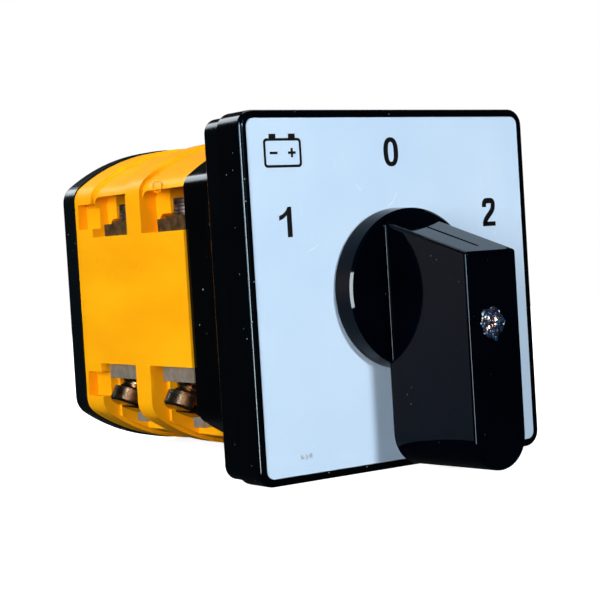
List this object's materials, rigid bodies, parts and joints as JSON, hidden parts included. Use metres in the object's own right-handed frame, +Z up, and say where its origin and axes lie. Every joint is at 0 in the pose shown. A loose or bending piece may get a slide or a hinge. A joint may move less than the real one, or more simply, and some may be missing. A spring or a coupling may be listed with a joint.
{
  "type": "rotary cam changeover switch",
  "caption": "Panel-mounted rotary changeover switch with a flag knob, three positions and two stages of cam-driven double-break contacts with screw terminals.",
  "frame": {"origin": "on the shaft axis, in the plane of the base's rear face, where the panel's front goes", "axes": "+Y along the shaft into the panel, away from the viewer; +Z up; +X to the viewer's right"},
  "size_m": [0.064, 0.1078, 0.064],
  "materials": {
    "bezel_black": "smooth black moulded plastic",
    "label_silver": "satin silver-white printed label",
    "base_black": "smooth black moulded plastic",
    "knob_black": "polished black moulded plastic",
    "housing_black": "smooth black moulded plastic",
    "stage_yellow": "warm yellow moulded plastic",
    "rear_black": "black moulded plastic",
    "cam_plastic": "natural moulded plastic",
    "zinc_steel": "zinc-plated steel",
    "dark_steel": "dark passivated steel",
    "tinned_brass": "tinned brass",
    "dark_brass": "tarnished brass",
    "copper_bridge": "copper",
    "silver_tip": "silver contact tip",
    "spring_steel": "spring steel",
    "seal_rubber": "black rubber"
  },
  "bodies": {
    "switch_body": {"bezel_frame": "bezel_black", "label_plate": "label_silver", "bezel_base": "base_black", "mounting_screws": "zinc_steel", "hub_seal": "seal_rubber", "detent_housing": "housing_black", "stop_pins": "zinc_steel", "detent_springs": "spring_steel", "detent_cover": "housing_black", "rear_plate": "rear_black", "through_bolts": "zinc_steel", "bolt_washers": "zinc_steel", "bolt_nuts": "zinc_steel", "stage_body_front": "stage_yellow", "terminal_screws_upper_front": "dark_steel", "terminal_screws_lower_front": "zinc_steel", "clamp_washers_front": "dark_brass", "clamp_yokes_front": "tinned_brass", "fixed_contacts_upper_front": "dark_brass", "fixed_tips_upper_front": "silver_tip", "contact_spring_upper_front": "spring_steel", "fixed_contacts_lower_front": "tinned_brass", "fixed_tips_lower_front": "silver_tip", "contact_spring_lower_front": "spring_steel", "stage_body_rear": "stage_yellow", "terminal_screws_upper_rear": "dark_steel", "terminal_screws_lower_rear": "zinc_steel", "clamp_washers_rear": "dark_brass", "clamp_yokes_rear": "tinned_brass", "fixed_contacts_upper_rear": "dark_brass", "fixed_tips_upper_rear": "silver_tip", "contact_spring_upper_rear": "spring_steel", "fixed_contacts_lower_rear": "tinned_brass", "fixed_tips_lower_rear": "silver_tip", "contact_spring_lower_rear": "spring_steel"},
    "rotor": {"knob": "knob_black", "knob_set_screw": "dark_steel", "shaft": "zinc_steel", "stop_disc": "cam_plastic", "index_wheel": "cam_plastic", "cam_upper_front": "cam_plastic", "cam_lower_front": "cam_plastic", "cam_upper_rear": "cam_plastic", "cam_lower_rear": "cam_plastic"},
    "contact_upper_front": {"carrier_upper_front": "cam_plastic", "bridge_upper_front": "copper_bridge", "bridge_tips_upper_front": "silver_tip"},
    "contact_lower_front": {"carrier_lower_front": "cam_plastic", "bridge_lower_front": "copper_bridge", "bridge_tips_lower_front": "silver_tip"},
    "contact_upper_rear": {"carrier_upper_rear": "cam_plastic", "bridge_upper_rear": "copper_bridge", "bridge_tips_upper_rear": "silver_tip"},
    "contact_lower_rear": {"carrier_lower_rear": "cam_plastic", "bridge_lower_rear": "copper_bridge", "bridge_tips_lower_rear": "silver_tip"}
  },
  "joints": [
    {"name": "knob_turn", "type": "hinge", "parent": "switch_body", "child": "rotor", "pos_m": [0, 0, 0], "axis": [0, 1, 0], "range_deg": [-60, 60], "deforming": ["detent_springs"]},
    {"name": "contact_upper_front_slide", "type": "slide", "parent": "switch_body", "child": "contact_upper_front", "axis": [0, 0, 1], "range_m": [-0.00161, 0.00161], "deforming": ["contact_spring_upper_front"]},
    {"name": "contact_lower_front_slide", "type": "slide", "parent": "switch_body", "child": "contact_lower_front", "axis": [0, 0, 1], "range_m": [-0.00161, 0.00161], "deforming": ["contact_spring_lower_front"]},
    {"name": "contact_upper_rear_slide", "type": "slide", "parent": "switch_body", "child": "contact_upper_rear", "axis": [0, 0, 1], "range_m": [-0.00161, 0.00161], "deforming": ["contact_spring_upper_rear"]},
    {"name": "contact_lower_rear_slide", "type": "slide", "parent": "switch_body", "child": "contact_lower_rear", "axis": [0, 0, 1], "range_m": [-0.00161, 0.00161], "deforming": ["contact_spring_lower_rear"]}
  ],
  "couplings": [
    {"joint": "contact_upper_front_slide", "follows": "knob_turn", "m_per_rad": 0.0015279},
    {"joint": "contact_lower_front_slide", "follows": "knob_turn", "m_per_rad": 0.0015279},
    {"joint": "contact_upper_rear_slide", "follows": "knob_turn", "m_per_rad": 0.0015279},
    {"joint": "contact_lower_rear_slide", "follows": "knob_turn", "m_per_rad": 0.0015279}
  ]
}
